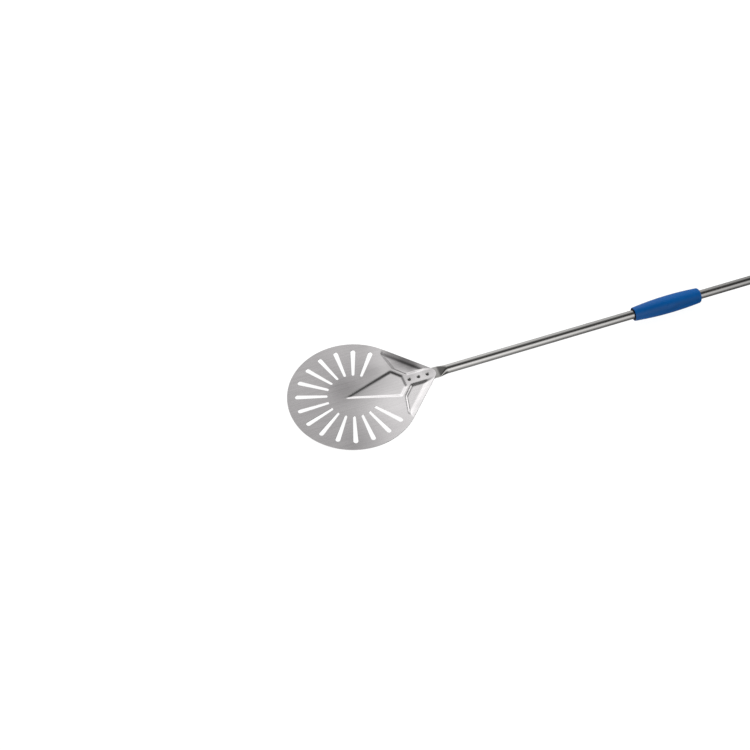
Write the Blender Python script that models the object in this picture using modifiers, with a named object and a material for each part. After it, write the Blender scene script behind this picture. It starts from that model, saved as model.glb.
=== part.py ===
"""Turning pizza peel: a slotted, pressed head riveted to a round tube with two grips.

Metres, +Z up. The origin is the centre of the round head, on its underside, and +X runs
along the handle, away from the head. Run with: blender --background --python part.py
"""

import math

import bmesh
import bpy
from mathutils.geometry import delaunay_2d_cdt

# Clearance between pieces that touch, and between pieces that run on each other
GAP = 0.0003

# Head: a round blade and a small nose, joined by their common tangents
SHEET = 0.0010
HEAD_RADIUS = 0.100
NOSE_RADIUS = 0.0114
NOSE_X = 0.1225
HEAD_STEPS = 90
NOSE_STEPS = 10

# Slots: tapered, rounded, fanned about the axis that points away from the handle
SLOT_COUNT = 15
SLOT_PITCH = math.radians(18.25)
SLOT_INNER_END = 0.0385
SLOT_OUTER_END = 0.0881
SLOT_INNER_RADIUS = 0.0021
SLOT_OUTER_RADIUS = 0.0037
SLOT_STEPS = 7

# Pressings in the head, as heights of the top face above the flat blade
SPEAR_LEVEL = -0.0015
WING_LEVEL = -0.0016
LIP_FOOT_LEVEL = -0.00065
LIP_TOP_LEVEL = 0.0003
LIP_END_FOOT_LEVEL = -0.0003
LIP_END_TOP_LEVEL = 0.0005
SPINE_LEVEL = 0.0003

# Spear: a sunken panel with a flat floor, pointing away from the handle
SPEAR_RIM_POINT_X = -0.0140
SPEAR_FLOOR_POINT_X = -0.0045
SPEAR_RIM = ((0.0697, 0.0259), (0.0836, 0.0106))
SPEAR_FLOOR = ((0.0686, 0.0223), (0.0804, 0.0093))

# Wings: sunken panels either side of the spine, each with a lip along the head's edge
WING_RIM = ((0.0671, 0.0610), (0.0745, 0.0276))
WING_FLOOR = ((0.0703, 0.0566), (0.0765, 0.0286), (0.0905, 0.0130), (0.1119, 0.0130))
LIP_START = (0.0700, 0.0625)
LIP_END = (0.1179, 0.0123)
# Where along the straight edge, from the nose, the lip ends and where it is at its full height
LIP_END_SHARE = 0.16
LIP_TOP_SHARE = 0.88

# Spine: the strip that lies over the flattened tube
SPINE_RAMP = (0.0840, 0.0090)
SPINE_EDGE = ((0.0905, 0.0096), (0.1165, 0.0096))

# Handle tube: round, pressed flat under the head
TUBE_RADIUS = 0.0070
TUBE_WALL = 0.0010
TUBE_FACETS = 32
STRIP_START_X = 0.0875
FLARE_START_X = 0.1360
FLARE_END_X = 0.1530
FLARE_STEPS = 8
BORE_START_SHARE = 0.25
TUBE_END_X = 0.8500
TUBE_AXIS_Z = SPINE_LEVEL - GAP - TUBE_WALL

# Blind rivets through the spine and the flattened tube
RIVET_XS = (0.0910, 0.1060, 0.1205)
RIVET_SHANK_RADIUS = 0.0016
RIVET_BORE_RADIUS = 0.0009
RIVET_HEAD_RADIUS = 0.0030
RIVET_HEAD_HEIGHT = 0.0010
RIVET_TAIL_RADIUS = 0.0023
RIVET_TAIL_HEIGHT = 0.0010
MANDREL_RADIUS = 0.0006
MANDREL_HEAD_HEIGHT = 0.0005
RIVET_STEPS = 20

# Grips: barrels with the same crown, turned about the tube's axis
CROWN_RADIUS = 0.01425
CROWN_FALL = 0.89  # radius lost per square metre of distance from the crown
GRIP_HEAD_SIDE = 0.0629  # from the crown to the end that faces the head
GRIP_FAR_SIDE = 0.0515
GRIP_SIDE_POINTS = 9
GRIP_STEPS = 40
FRONT_ROUND = 0.0008
FAR_ROUND = 0.0030
ROUND_STEPS = 4
SLIDING_CROWN_X = 0.5310

# Bushes pressed into the ends of the sliding grip
BUSH_INNER_RADIUS = TUBE_RADIUS + GAP
FRONT_BUSH_RADIUS = 0.0094
REAR_BUSH_RADIUS = 0.0084
BUSH_LENGTH = 0.0150
BUSH_RECESS = 0.0010
GRIP_BORE_RADIUS = 0.0079

# End grip, closed at its far end, with a flattened tail and a hanging hole
END_CROWN_X = 0.8290
END_FAR_SIDE = 0.0552
END_TAIL_START = 0.0370  # from the crown to where the tail rounds off
END_TAIL_STEPS = 6
TAIL_HALF_HEIGHT = 0.0065
TAIL_FLAT_X = 0.8660
TAIL_SCOOP_RADIUS = 0.0100
HANG_HOLE_X = 0.8720
HANG_HOLE_RADIUS = 0.0045

# Plug in the tube's far end, and the screw that holds the end grip to it
PLUG_LENGTH = 0.0300
SCREW_X = 0.8350
SCREW_RADIUS = 0.0015
SCREW_HEAD_RADIUS = 0.0030
SCREW_HEAD_HEIGHT = 0.0020
SCREW_HEAD_DEPTH = 0.0110  # from the tube's axis to the underside of the head
SCREW_TIP_DEPTH = 0.0020
SCREW_STEPS = 20
DRIVE_SIZE = 0.0024
DRIVE_DEPTH = 0.0012

CUT_PAST = 0.0050  # how far a cutter runs past what it cuts

STEEL = (0.62, 0.61, 0.59)
RIVET_METAL = (0.55, 0.54, 0.53)
BLUE_PLASTIC = (0.010, 0.075, 0.290)
BLACK_PLASTIC = (0.015, 0.015, 0.018)
GREY_PLASTIC = (0.25, 0.25, 0.26)


def clear_scene():
    for obj in list(bpy.data.objects):
        bpy.data.objects.remove(obj, do_unlink=True)


def new_collection(name):
    collection = bpy.data.collections.new(name)
    bpy.context.scene.collection.children.link(collection)
    return collection


def new_material(name, colour, roughness, metallic):
    material = bpy.data.materials.new(name)
    material.use_nodes = True
    shader = material.node_tree.nodes["Principled BSDF"]
    shader.inputs["Base Color"].default_value = (*colour, 1.0)
    shader.inputs["Roughness"].default_value = roughness
    shader.inputs["Metallic"].default_value = metallic
    return material


def mesh_object(name, bm, collection, material=None, sharp_degrees=30):
    mesh = bpy.data.meshes.new(name)
    bm.to_mesh(mesh)
    bm.free()
    mesh.shade_smooth()
    mesh.set_sharp_from_angle(angle=math.radians(sharp_degrees))
    if material:
        mesh.materials.append(material)
    obj = bpy.data.objects.new(name, mesh)
    collection.objects.link(obj)
    return obj


def as_cutter(obj):
    obj.hide_render = True
    obj.display_type = "WIRE"
    return obj


def cut(obj, cutter):
    modifier = obj.modifiers.new("cut_" + cutter.name, "BOOLEAN")
    modifier.operation = "DIFFERENCE"
    modifier.solver = "EXACT"
    modifier.object = cutter


def arc(centre_x, centre_y, radius, start, end, steps):
    """Points on an arc, both ends included."""
    angles = [start + (end - start) * i / steps for i in range(steps + 1)]
    return [
        (centre_x + radius * math.cos(a), centre_y + radius * math.sin(a)) for a in angles
    ]


def joined_circles(near_x, near_radius, far_x, far_radius, near_steps, far_steps):
    """The far arc and the near arc of two circles on the X axis with common tangents."""
    lean = math.acos((near_radius - far_radius) / (far_x - near_x))
    far = arc(far_x, 0.0, far_radius, -lean, lean, far_steps)
    near = arc(near_x, 0.0, near_radius, lean, 2 * math.pi - lean, near_steps)
    return far, near


def between(a, b, share):
    return tuple(p + (q - p) * share for p, q in zip(a, b))


class PressedSheet:
    """A flat pattern whose corners each have a height, cut out and given a thickness."""

    def __init__(self):
        self.points = []
        self.heights = []
        self.edges = []
        self.loops = []

    def corner(self, x, y, height=0.0):
        self.points.append((x, y))
        self.heights.append(height)
        return len(self.points) - 1

    def crease(self, *corners):
        self.edges.extend(zip(corners, corners[1:]))

    def loop(self, corners):
        """The first loop is the outline, and every later one is a hole."""
        self.loops.append(corners)

    def build(self, thickness):
        corners, _, faces, sources, _, owners = delaunay_2d_cdt(
            self.points, self.edges, self.loops, 1, 1e-7, True
        )
        bm = bmesh.new()
        verts = [
            bm.verts.new((p.x, p.y, thickness + self.heights[source[0]]))
            for p, source in zip(corners, sources)
        ]
        for face, owner in zip(faces, owners):
            if list(owner) == [0]:
                bm.faces.new([verts[i] for i in face])
        lower = bmesh.ops.extrude_face_region(bm, geom=bm.faces[:], use_keep_orig=True)
        moved = [v for v in lower["geom"] if isinstance(v, bmesh.types.BMVert)]
        bmesh.ops.translate(bm, verts=moved, vec=(0.0, 0.0, -thickness))
        bmesh.ops.recalc_face_normals(bm, faces=bm.faces[:])
        return bm


def add_outline(sheet):
    """The head's edge. Returns the corners where each lip starts and ends, by side."""
    nose, disc = joined_circles(
        0.0, HEAD_RADIUS, NOSE_X, NOSE_RADIUS, HEAD_STEPS, NOSE_STEPS
    )
    nose_ids = [sheet.corner(x, y, SPINE_LEVEL) for x, y in nose]
    lip_ends, lip_tops = [], []
    for near, far in ((nose[-1], disc[0]), (nose[0], disc[-1])):
        lip_end = between(near, far, LIP_END_SHARE)
        lip_ends.append(sheet.corner(*lip_end, LIP_END_TOP_LEVEL))
        lip_tops.append(sheet.corner(*between(near, far, LIP_TOP_SHARE), LIP_TOP_LEVEL))
    disc_ids = [sheet.corner(x, y) for x, y in disc]
    sheet.loop([*nose_ids, lip_ends[0], lip_tops[0], *disc_ids, lip_tops[1], lip_ends[1]])
    return {1: (disc_ids[0], lip_ends[0]), -1: (disc_ids[-1], lip_ends[1])}


def add_slots(sheet):
    outer, inner = joined_circles(
        SLOT_INNER_END + SLOT_INNER_RADIUS,
        SLOT_INNER_RADIUS,
        SLOT_OUTER_END - SLOT_OUTER_RADIUS,
        SLOT_OUTER_RADIUS,
        SLOT_STEPS,
        SLOT_STEPS,
    )
    for i in range(SLOT_COUNT):
        turn = math.pi + (i - (SLOT_COUNT - 1) / 2) * SLOT_PITCH
        c, s = math.cos(turn), math.sin(turn)
        sheet.loop([sheet.corner(c * x - s * y, s * x + c * y) for x, y in outer + inner])


def add_spear(sheet):
    rim_point = sheet.corner(SPEAR_RIM_POINT_X, 0.0)
    floor_point = sheet.corner(SPEAR_FLOOR_POINT_X, 0.0, SPEAR_LEVEL)
    rims, floors = {}, {}
    for side in (1, -1):
        rims[side] = [sheet.corner(x, side * y) for x, y in SPEAR_RIM]
        floors[side] = [sheet.corner(x, side * y, SPEAR_LEVEL) for x, y in SPEAR_FLOOR]
        sheet.crease(rim_point, *rims[side])
        sheet.crease(floor_point, *floors[side])
        for rim, floor in zip(rims[side], floors[side]):
            sheet.crease(rim, floor)
    sheet.crease(rim_point, floor_point)
    sheet.crease(rims[1][-1], rims[-1][-1])
    sheet.crease(floors[1][-1], floors[-1][-1])


def add_wing(sheet, side, edge_start, edge_end):
    """One sunken wing, the lip outside it, and its side of the spine."""
    rim = [sheet.corner(x, side * y) for x, y in WING_RIM]
    floor = [sheet.corner(x, side * y, WING_LEVEL) for x, y in WING_FLOOR]
    spine = [sheet.corner(x, side * y, SPINE_LEVEL) for x, y in SPINE_EDGE]
    lip_start = sheet.corner(LIP_START[0], side * LIP_START[1], LIP_FOOT_LEVEL)
    lip_end = sheet.corner(LIP_END[0], side * LIP_END[1], LIP_END_FOOT_LEVEL)
    ramp = sheet.corner(SPINE_RAMP[0], side * SPINE_RAMP[1])
    sheet.crease(edge_start, *rim, *spine, lip_end, edge_end)
    sheet.crease(*floor, floor[0])
    sheet.crease(edge_start, lip_start, lip_end)
    for high, low in zip([*rim, *spine], floor):
        sheet.crease(high, low)
    sheet.crease(lip_start, floor[0])
    sheet.crease(lip_end, floor[-1])
    sheet.crease(ramp, spine[0])
    return ramp, spine[0]


def make_blade(collection, material, hole_cutters):
    sheet = PressedSheet()
    flanges = add_outline(sheet)
    add_slots(sheet)
    add_spear(sheet)
    left = add_wing(sheet, 1, *flanges[1])
    right = add_wing(sheet, -1, *flanges[-1])
    for a, b in zip(left, right):
        sheet.crease(a, b)
    blade = mesh_object("blade", sheet.build(SHEET), collection, material, 5)
    for cutter in hole_cutters:
        cut(blade, cutter)


def tube_section(x, half_height, inset=0.0):
    """A ring of points round the tube. Its outer perimeter is the same at every height."""
    half_width = TUBE_RADIUS + (TUBE_RADIUS - half_height) * (math.pi / 2 - 1)
    straight = half_width - half_height
    radius = half_height - inset
    ring = []
    for i in range(TUBE_FACETS):
        angle = 2 * math.pi * (i + 0.5) / TUBE_FACETS
        y = radius * math.cos(angle) + math.copysign(straight, math.cos(angle))
        ring.append((x, y, TUBE_AXIS_Z + radius * math.sin(angle)))
    return ring


def flare(share):
    """Place and half height of the tube's section, from flat at 0 to round at 1."""
    smooth = share * share * (3 - 2 * share)
    x = FLARE_START_X + (FLARE_END_X - FLARE_START_X) * share
    return x, TUBE_WALL + (TUBE_RADIUS - TUBE_WALL) * smooth


def make_tube(collection, material, hole_cutters):
    shares = [i / FLARE_STEPS for i in range(FLARE_STEPS + 1)]
    rings = [tube_section(STRIP_START_X, TUBE_WALL)]
    rings += [tube_section(*flare(share)) for share in shares]
    rings.append(tube_section(TUBE_END_X, TUBE_RADIUS))
    rings.append(tube_section(TUBE_END_X, TUBE_RADIUS, TUBE_WALL))
    hollow = [share for share in reversed(shares) if share >= BORE_START_SHARE]
    rings += [tube_section(*flare(share), TUBE_WALL) for share in hollow]
    bm = bmesh.new()
    loops = [[bm.verts.new(point) for point in ring] for ring in rings]
    for near, far in zip(loops, loops[1:]):
        for i in range(TUBE_FACETS):
            j = (i + 1) % TUBE_FACETS
            bm.faces.new((near[i], near[j], far[j], far[i]))
    bm.faces.new(loops[0])
    bm.faces.new(loops[-1])
    bmesh.ops.recalc_face_normals(bm, faces=bm.faces[:])
    tube = mesh_object("handle_tube", bm, collection, material)
    for cutter in hole_cutters:
        cut(tube, cutter)


def turned(name, profile, closed, steps, collection, material):
    """A solid turned about its own Z. The profile runs down its outer side."""
    bm = bmesh.new()
    verts = [bm.verts.new((radius, 0.0, z)) for radius, z in profile]
    for a, b in zip(verts, verts[1:]):
        bm.edges.new((a, b))
    if closed:
        bm.edges.new((verts[-1], verts[0]))
    obj = mesh_object(name, bm, collection, material)
    screw = obj.modifiers.new("turn", "SCREW")
    screw.axis = "Z"
    screw.steps = steps
    screw.render_steps = steps
    screw.use_merge_vertices = True
    screw.merge_threshold = 0.00001
    screw.use_smooth_shade = True
    return obj


def lay_along_handle(obj, x):
    """Turns a piece's own Z to +X and puts its origin on the tube's axis."""
    obj.rotation_euler = (0.0, math.pi / 2, 0.0)
    obj.location = (x, 0.0, TUBE_AXIS_Z)


def make_rivet(number, x, collection, body_material, mandrel_material):
    """A blind rivet: a flanged sleeve, and the broken mandrel that stays inside it."""
    head_low = SHEET + SPINE_LEVEL + GAP
    head_top = head_low + RIVET_HEAD_HEIGHT
    tail_top = TUBE_AXIS_Z - TUBE_WALL - GAP
    tail_low = tail_top - RIVET_TAIL_HEIGHT
    body = turned(
        f"rivet_{number}",
        [
            (RIVET_BORE_RADIUS, head_top),
            (RIVET_HEAD_RADIUS * 0.6, head_top - RIVET_HEAD_HEIGHT * 0.12),
            (RIVET_HEAD_RADIUS * 0.88, head_top - RIVET_HEAD_HEIGHT * 0.45),
            (RIVET_HEAD_RADIUS, head_low + RIVET_HEAD_HEIGHT * 0.1),
            (RIVET_HEAD_RADIUS, head_low),
            (RIVET_SHANK_RADIUS, head_low),
            (RIVET_SHANK_RADIUS, tail_top),
            (RIVET_TAIL_RADIUS, tail_top),
            (RIVET_TAIL_RADIUS, tail_low + RIVET_TAIL_HEIGHT * 0.4),
            (RIVET_SHANK_RADIUS, tail_low),
            (RIVET_BORE_RADIUS, tail_low),
        ],
        True,
        RIVET_STEPS,
        collection,
        body_material,
    )
    body.location = (x, 0.0, 0.0)
    bulb_top = tail_low - GAP
    mandrel = turned(
        f"rivet_{number}_mandrel",
        [
            (0.0, head_top - RIVET_HEAD_HEIGHT * 0.6),
            (MANDREL_RADIUS, head_top - RIVET_HEAD_HEIGHT * 0.8),
            (MANDREL_RADIUS, bulb_top),
            (RIVET_SHANK_RADIUS, bulb_top),
            (RIVET_SHANK_RADIUS * 0.8, bulb_top - MANDREL_HEAD_HEIGHT),
            (0.0, bulb_top - MANDREL_HEAD_HEIGHT),
        ],
        False,
        RIVET_STEPS,
        collection,
        mandrel_material,
    )
    mandrel.location = (x, 0.0, 0.0)


def crowned(distance):
    return CROWN_RADIUS - CROWN_FALL * distance * distance


def crowned_side(top, bottom):
    """Points down the barrel's side from one height to another."""
    heights = [
        top + (bottom - top) * i / (GRIP_SIDE_POINTS - 1) for i in range(GRIP_SIDE_POINTS)
    ]
    return [(crowned(z), z) for z in heights]


def rounded_top(z, rounding):
    """A quarter arc from the end face at height z down to the barrel's side."""
    centre = crowned(z - rounding) - rounding
    return arc(centre, z - rounding, rounding, math.pi / 2, 0.0, ROUND_STEPS)[:-1]


def rounded_bottom(z, rounding):
    """A quarter arc from the barrel's side down to the end face at height z."""
    centre = crowned(z + rounding) - rounding
    return arc(centre, z + rounding, rounding, 0.0, -math.pi / 2, ROUND_STEPS)[1:]


def make_sliding_grip(collection, material):
    front_seat = FRONT_BUSH_RADIUS + GAP
    rear_seat = REAR_BUSH_RADIUS + GAP
    seat_depth = BUSH_RECESS + BUSH_LENGTH + GAP
    profile = rounded_top(GRIP_FAR_SIDE, FAR_ROUND)
    profile += crowned_side(GRIP_FAR_SIDE - FAR_ROUND, FRONT_ROUND - GRIP_HEAD_SIDE)
    profile += rounded_bottom(-GRIP_HEAD_SIDE, FRONT_ROUND)
    profile += [
        (front_seat, -GRIP_HEAD_SIDE),
        (front_seat, seat_depth - GRIP_HEAD_SIDE),
        (GRIP_BORE_RADIUS, seat_depth - GRIP_HEAD_SIDE),
        (GRIP_BORE_RADIUS, GRIP_FAR_SIDE - seat_depth),
        (rear_seat, GRIP_FAR_SIDE - seat_depth),
        (rear_seat, GRIP_FAR_SIDE),
    ]
    grip = turned("sliding_grip", profile, True, GRIP_STEPS, collection, material)
    lay_along_handle(grip, SLIDING_CROWN_X)


def make_bush(name, head_end_x, outer_radius, collection, material):
    profile = [
        (outer_radius, BUSH_LENGTH),
        (outer_radius, 0.0),
        (BUSH_INNER_RADIUS, 0.0),
        (BUSH_INNER_RADIUS, BUSH_LENGTH),
    ]
    bush = turned(name, profile, True, GRIP_STEPS, collection, material)
    lay_along_handle(bush, head_end_x)


def prism_cutter(name, outline, half_width, collection):
    """A cutter with the given outline in XZ, reaching half_width to each side of y = 0."""
    bm = bmesh.new()
    face = bm.faces.new([bm.verts.new((x, -half_width, z)) for x, z in outline])
    moved = bmesh.ops.extrude_face_region(bm, geom=[face], use_keep_orig=True)["geom"]
    verts = [v for v in moved if isinstance(v, bmesh.types.BMVert)]
    bmesh.ops.translate(bm, verts=verts, vec=(0.0, 2 * half_width, 0.0))
    bmesh.ops.recalc_face_normals(bm, faces=bm.faces[:])
    return as_cutter(mesh_object(name, bm, collection))


def rod_cutter(name, x, radius, low, high, collection):
    """An upright round cutter from height low to height high."""
    bm = bmesh.new()
    bmesh.ops.create_cone(
        bm,
        cap_ends=True,
        segments=32,
        radius1=radius,
        radius2=radius,
        depth=high - low,
    )
    obj = mesh_object(name, bm, collection)
    obj.location = (x, 0.0, (low + high) / 2)
    return as_cutter(obj)


def tail_outline(direction):
    """What is cut off above (+1) or below (-1) the end grip's tail."""
    flat = TAIL_HALF_HEIGHT
    scoop_z = flat + TAIL_SCOOP_RADIUS
    outline = arc(
        TAIL_FLAT_X, scoop_z, TAIL_SCOOP_RADIUS, math.pi, 1.5 * math.pi, ROUND_STEPS * 2
    )
    far_x = END_CROWN_X + END_FAR_SIDE + CUT_PAST
    outline += [(far_x, flat), (far_x, scoop_z)]
    return [(x, TUBE_AXIS_Z + direction * z) for x, z in outline]


def make_end_grip(collection, cutters, material, screw_hole):
    socket_radius = TUBE_RADIUS + GAP
    socket_end = TUBE_END_X + GAP - END_CROWN_X
    tail_length = END_FAR_SIDE - END_TAIL_START
    profile = [(0.0, END_FAR_SIDE)]
    for i in range(1, END_TAIL_STEPS + 1):
        angle = math.pi / 2 * (1 - i / END_TAIL_STEPS)
        z = END_TAIL_START + tail_length * math.sin(angle)
        profile.append((crowned(z) * math.cos(angle), z))
    profile += crowned_side(END_TAIL_START, FRONT_ROUND - GRIP_HEAD_SIDE)[1:]
    profile += rounded_bottom(-GRIP_HEAD_SIDE, FRONT_ROUND)
    profile += [
        (socket_radius, -GRIP_HEAD_SIDE),
        (socket_radius, socket_end),
        (0.0, socket_end),
    ]
    grip = turned("end_grip", profile, False, GRIP_STEPS, collection, material)
    lay_along_handle(grip, END_CROWN_X)
    half_width = CROWN_RADIUS + CUT_PAST
    cut(grip, prism_cutter("tail_above", tail_outline(1), half_width, cutters))
    cut(grip, prism_cutter("tail_below", tail_outline(-1), half_width, cutters))
    reach = TAIL_HALF_HEIGHT + CUT_PAST
    cut(
        grip,
        rod_cutter(
            "hanging_hole",
            HANG_HOLE_X,
            HANG_HOLE_RADIUS,
            TUBE_AXIS_Z - reach,
            TUBE_AXIS_Z + reach,
            cutters,
        ),
    )
    cut(grip, screw_hole)
    recess = rod_cutter(
        "screw_recess",
        SCREW_X,
        SCREW_HEAD_RADIUS + GAP,
        TUBE_AXIS_Z - CROWN_RADIUS - CUT_PAST,
        TUBE_AXIS_Z - SCREW_HEAD_DEPTH + GAP,
        cutters,
    )
    cut(grip, recess)


def make_plug(collection, material, screw_hole):
    radius = TUBE_RADIUS - TUBE_WALL - GAP
    profile = [(0.0, PLUG_LENGTH), (radius, PLUG_LENGTH), (radius, 0.0), (0.0, 0.0)]
    plug = turned("tube_plug", profile, False, TUBE_FACETS, collection, material)
    lay_along_handle(plug, TUBE_END_X - PLUG_LENGTH)
    cut(plug, screw_hole)


def make_screw(collection, cutters, material):
    head_low = -SCREW_HEAD_DEPTH - SCREW_HEAD_HEIGHT
    profile = [
        (0.0, SCREW_TIP_DEPTH),
        (SCREW_RADIUS, SCREW_TIP_DEPTH - SCREW_RADIUS),
        (SCREW_RADIUS, -SCREW_HEAD_DEPTH),
        (SCREW_HEAD_RADIUS, -SCREW_HEAD_DEPTH),
        (SCREW_HEAD_RADIUS, head_low + SCREW_HEAD_HEIGHT * 0.4),
        (SCREW_HEAD_RADIUS * 0.7, head_low),
        (0.0, head_low),
    ]
    screw = turned("end_grip_screw", profile, False, SCREW_STEPS, collection, material)
    screw.location = (SCREW_X, 0.0, TUBE_AXIS_Z)
    bm = bmesh.new()
    bmesh.ops.create_cone(
        bm,
        cap_ends=True,
        segments=6,
        radius1=DRIVE_SIZE / 2,
        radius2=DRIVE_SIZE / 2,
        depth=2 * DRIVE_DEPTH,
    )
    drive = as_cutter(mesh_object("screw_drive", bm, cutters))
    drive.location = (SCREW_X, 0.0, TUBE_AXIS_Z + head_low)
    cut(screw, drive)


def main():
    clear_scene()
    parts = new_collection("pizza_peel")
    cutters = new_collection("cutters")
    head_steel = new_material("head_steel", STEEL, 0.32, 1.0)
    tube_steel = new_material("tube_steel", STEEL, 0.22, 1.0)
    rivet_metal = new_material("rivet_metal", RIVET_METAL, 0.35, 1.0)
    mandrel_steel = new_material("mandrel_steel", RIVET_METAL, 0.5, 1.0)
    screw_steel = new_material("screw_steel", STEEL, 0.3, 1.0)
    slider_blue = new_material("slider_blue", BLUE_PLASTIC, 0.35, 0.0)
    handle_blue = new_material("handle_blue", BLUE_PLASTIC, 0.35, 0.0)
    bush_black = new_material("bush_black", BLACK_PLASTIC, 0.5, 0.0)
    plug_grey = new_material("plug_grey", GREY_PLASTIC, 0.6, 0.0)

    rivet_holes = [
        rod_cutter(
            f"rivet_hole_{number}",
            x,
            RIVET_SHANK_RADIUS + GAP,
            TUBE_AXIS_Z - CUT_PAST,
            SHEET + CUT_PAST,
            cutters,
        )
        for number, x in enumerate(RIVET_XS, 1)
    ]
    screw_hole = rod_cutter(
        "screw_hole",
        SCREW_X,
        SCREW_RADIUS + GAP,
        TUBE_AXIS_Z - CROWN_RADIUS - CUT_PAST,
        TUBE_AXIS_Z + SCREW_TIP_DEPTH + GAP,
        cutters,
    )
    make_blade(parts, head_steel, rivet_holes)
    make_tube(parts, tube_steel, [*rivet_holes, screw_hole])
    for number, x in enumerate(RIVET_XS, 1):
        make_rivet(number, x, parts, rivet_metal, mandrel_steel)
    make_sliding_grip(parts, slider_blue)
    front_x = SLIDING_CROWN_X - GRIP_HEAD_SIDE + BUSH_RECESS
    rear_x = SLIDING_CROWN_X + GRIP_FAR_SIDE - BUSH_RECESS - BUSH_LENGTH
    make_bush("front_bush", front_x, FRONT_BUSH_RADIUS, parts, bush_black)
    make_bush("rear_bush", rear_x, REAR_BUSH_RADIUS, parts, bush_black)
    make_end_grip(parts, cutters, handle_blue, screw_hole)
    make_plug(parts, plug_grey, screw_hole)
    make_screw(parts, cutters, screw_steel)


main()
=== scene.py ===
"""Looks of the turning pizza peel: pressed steel head, bright tube handle, blue grips.

Metres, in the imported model's frame: the origin is the centre of the round head on its
underside, +X runs along the handle and +Z is up, out of the food side.
"""

import math

import bmesh
import bpy
from mathutils import Matrix, Vector
from mathutils.bvhtree import BVHTree
from mathutils.geometry import delaunay_2d_cdt

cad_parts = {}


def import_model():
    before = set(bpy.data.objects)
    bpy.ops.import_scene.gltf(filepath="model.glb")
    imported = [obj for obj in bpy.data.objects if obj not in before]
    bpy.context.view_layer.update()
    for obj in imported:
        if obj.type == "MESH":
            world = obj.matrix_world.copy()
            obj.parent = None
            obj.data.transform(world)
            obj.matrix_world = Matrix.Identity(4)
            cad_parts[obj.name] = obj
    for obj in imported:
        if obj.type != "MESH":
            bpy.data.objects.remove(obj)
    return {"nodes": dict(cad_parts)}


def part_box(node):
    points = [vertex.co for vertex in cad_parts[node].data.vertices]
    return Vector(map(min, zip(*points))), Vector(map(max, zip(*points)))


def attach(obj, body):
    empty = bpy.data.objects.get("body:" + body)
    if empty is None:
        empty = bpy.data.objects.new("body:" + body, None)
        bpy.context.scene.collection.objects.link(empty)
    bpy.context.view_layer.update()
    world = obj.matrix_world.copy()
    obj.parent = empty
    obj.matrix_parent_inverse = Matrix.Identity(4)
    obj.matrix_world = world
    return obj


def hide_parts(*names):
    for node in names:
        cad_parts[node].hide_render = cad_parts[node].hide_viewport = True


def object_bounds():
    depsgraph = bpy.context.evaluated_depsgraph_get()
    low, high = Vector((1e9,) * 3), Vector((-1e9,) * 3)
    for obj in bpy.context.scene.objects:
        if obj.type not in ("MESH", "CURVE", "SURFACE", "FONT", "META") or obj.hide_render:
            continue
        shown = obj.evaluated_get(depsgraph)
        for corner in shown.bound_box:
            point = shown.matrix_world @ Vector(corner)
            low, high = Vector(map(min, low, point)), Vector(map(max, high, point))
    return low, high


GAP = 0.0003
SHARP_DEGREES = 32  # edges that turn by more than this are drawn sharp
CUT_PAST = 0.0050  # how far a cutter reaches past what it cuts

# Head: outline, slots and the lines along which the sheet is pressed
SHEET = 0.0010
HEAD_RADIUS = 0.100
NOSE_RADIUS = 0.0114
NOSE_X = 0.1225
SLOT_COUNT = 15
SLOT_PITCH = math.radians(18.25)
SLOT_INNER_END = 0.0385
SLOT_OUTER_END = 0.0881
SLOT_INNER_RADIUS = 0.0021
SLOT_OUTER_RADIUS = 0.0037
RIVET_XS = (0.0910, 0.1060, 0.1205)
RIVET_HOLE_RADIUS = 0.0019
PRESSED_FROM_X = -0.0170  # the pressings lie between here and the nose
PRESSED_GRID = 0.0008
FLAT_GRID = 0.0060
BEND_RADIUS = 0.0017  # how far a pressed bend is rounded to each side of its line
BEND_RINGS = 2
EDGE_INSET = 0.998  # share of the way out at which the edge's own height is read
BEND_SPOKES = 8
SHEET_EDGE_BEVEL = 0.00018
SHEET_SHARP_DEGREES = 40
SHEET_BEVEL_DEGREES = 60
NOSE_STEPS = 36
DISC_STEPS = 300
EDGE_STEPS = 80  # along each straight edge
SLOT_OUTER_STEPS = 16
SLOT_INNER_STEPS = 14
RIVET_HOLE_STEPS = 24
CAST_FROM_Z = 0.02  # height above the sheet from which its surface is looked up
EDGE_CLEAR = 0.4  # share of the grid kept free inside the head's edge
EDGE_CLEAR_GRID = 0.0012  # the coarsest grid that counts for that
HOLE_CLEAR = 0.00035
SLOT_MARGIN = 0.001  # how far past a slot's ends points are still tested
SAME_POINT = 1e-7  # points closer than this are one point
SAME_PLACES = 7

# Tube
TUBE_RADIUS = 0.0070
TUBE_WALL = 0.0010
TUBE_FACETS = 96
STRIP_START_X = 0.0875
FLARE_START_X = 0.1360
FLARE_END_X = 0.1530
FLARE_STEPS = 28
BORE_START_SHARE = 0.25
TUBE_END_X = 0.8500
TUBE_LENGTH_STEP = 0.020

# Rivets
RIVET_STEPS = 40
RIVET_SHANK_RADIUS = 0.0016
RIVET_BORE_RADIUS = 0.0009
RIVET_BORE_DEPTH = 0.00022
RIVET_RIM_RADIUS = 0.00105
RIVET_RIM_DEPTH = 0.00003
RIVET_DOME_START = 0.00115
RIVET_DOME_HEIGHT = 0.00095
RIVET_HEAD_HEIGHT = 0.0010
RIVET_HEAD_UNDERCUT = 0.985
DOME_STEPS = 10
# The upset tail, as (height above its end, radius)
RIVET_TAIL = (
    (0.0010, 0.0016),
    (0.0009, 0.00215),
    (0.0006, 0.0023),
    (0.0003, 0.0022),
    (0.0, 0.0016),
    (0.0, 0.0009),
)
MANDREL_STEPS = 24
MANDREL_RADIUS = 0.0006
# The broken end in the rivet's head, as (depth below its top, radius)
MANDREL_BREAK = ((0.0001, 0.0), (0.0, 0.00018), (0.00006, 0.00042), (0.0002, MANDREL_RADIUS))
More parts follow.
